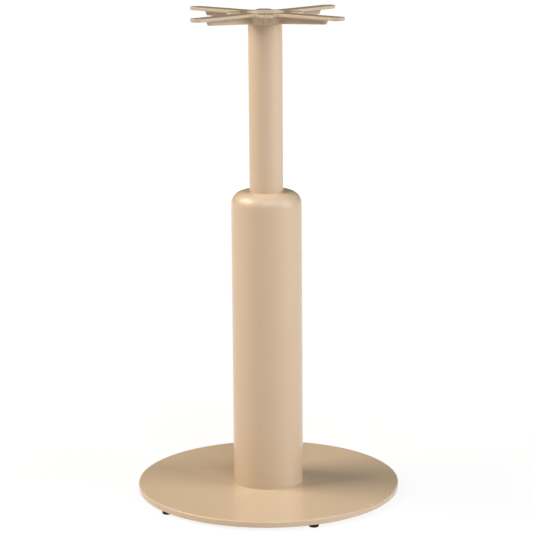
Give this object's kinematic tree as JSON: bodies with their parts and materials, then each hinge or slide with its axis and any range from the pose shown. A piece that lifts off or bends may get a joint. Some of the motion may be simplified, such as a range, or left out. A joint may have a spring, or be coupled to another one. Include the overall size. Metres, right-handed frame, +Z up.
{
  "type": "bar table base",
  "caption": "Bar-height table base: round plate on screw-in levelling feet, stepped round column with a rounded shoulder, and a cast spider that carries the table top.",
  "frame": {"origin": "on the floor, under the axis of the column", "axes": "+Z up along the column; X and Y along the short arms of the spider, +X through one foot"},
  "size_m": [0.5999, 0.6, 1.1],
  "materials": {
    "powder_coat": "sand-coloured satin powder coat with a very fine texture",
    "plated_steel": "zinc-plated steel",
    "black_plastic": "matt moulded plastic"
  },
  "bodies": {
    "base": {"base_plate": "powder_coat", "base_locator": "plated_steel", "locator_screws": "plated_steel", "lower_column": "powder_coat", "tube_locator": "plated_steel", "upper_tube": "powder_coat", "top_spider": "powder_coat", "tie_rod": "plated_steel", "base_nut": "plated_steel", "top_washer": "plated_steel", "top_nut": "plated_steel"},
    "foot_1": {"glide_foot_1": "black_plastic"},
    "stud_1": {"glide_stud_1": "plated_steel"},
    "foot_2": {"glide_foot_2": "black_plastic"},
    "stud_2": {"glide_stud_2": "plated_steel"},
    "foot_3": {"glide_foot_3": "black_plastic"},
    "stud_3": {"glide_stud_3": "plated_steel"},
    "foot_4": {"glide_foot_4": "black_plastic"},
    "stud_4": {"glide_stud_4": "plated_steel"},
    "foot_5": {"glide_foot_5": "black_plastic"},
    "stud_5": {"glide_stud_5": "plated_steel"}
  },
  "joints": [
    {"name": "foot_1_travel", "type": "slide", "parent": "base", "child": "foot_1", "axis": [0, 0, -1], "range_m": [0, 0.006]},
    {"name": "stud_1_turn", "type": "hinge", "parent": "foot_1", "child": "stud_1", "pos_m": [0.288, 0, 0], "axis": [0, 0, -1], "range_deg": [0, 1728]},
    {"name": "foot_2_travel", "type": "slide", "parent": "base", "child": "foot_2", "axis": [0, 0, -1], "range_m": [0, 0.006]},
    {"name": "stud_2_turn", "type": "hinge", "parent": "foot_2", "child": "stud_2", "pos_m": [0.089, 0.2739, 0], "axis": [0, 0, -1], "range_deg": [0, 1728]},
    {"name": "foot_3_travel", "type": "slide", "parent": "base", "child": "foot_3", "axis": [0, 0, -1], "range_m": [0, 0.006]},
    {"name": "stud_3_turn", "type": "hinge", "parent": "foot_3", "child": "stud_3", "pos_m": [-0.233, 0.16928, 0], "axis": [0, 0, -1], "range_deg": [0, 1728]},
    {"name": "foot_4_travel", "type": "slide", "parent": "base", "child": "foot_4", "axis": [0, 0, -1], "range_m": [0, 0.006]},
    {"name": "stud_4_turn", "type": "hinge", "parent": "foot_4", "child": "stud_4", "pos_m": [-0.233, -0.16928, 0], "axis": [0, 0, -1], "range_deg": [0, 1728]},
    {"name": "foot_5_travel", "type": "slide", "parent": "base", "child": "foot_5", "axis": [0, 0, -1], "range_m": [0, 0.006]},
    {"name": "stud_5_turn", "type": "hinge", "parent": "foot_5", "child": "stud_5", "pos_m": [0.089, -0.2739, 0], "axis": [0, 0, -1], "range_deg": [0, 1728]}
  ],
  "couplings": [
    {"joint": "stud_1_turn", "follows": "foot_1_travel", "rad_per_m": 5026.5},
    {"joint": "stud_2_turn", "follows": "foot_2_travel", "rad_per_m": 5026.5},
    {"joint": "stud_3_turn", "follows": "foot_3_travel", "rad_per_m": 5026.5},
    {"joint": "stud_4_turn", "follows": "foot_4_travel", "rad_per_m": 5026.5},
    {"joint": "stud_5_turn", "follows": "foot_5_travel", "rad_per_m": 5026.5}
  ]
}
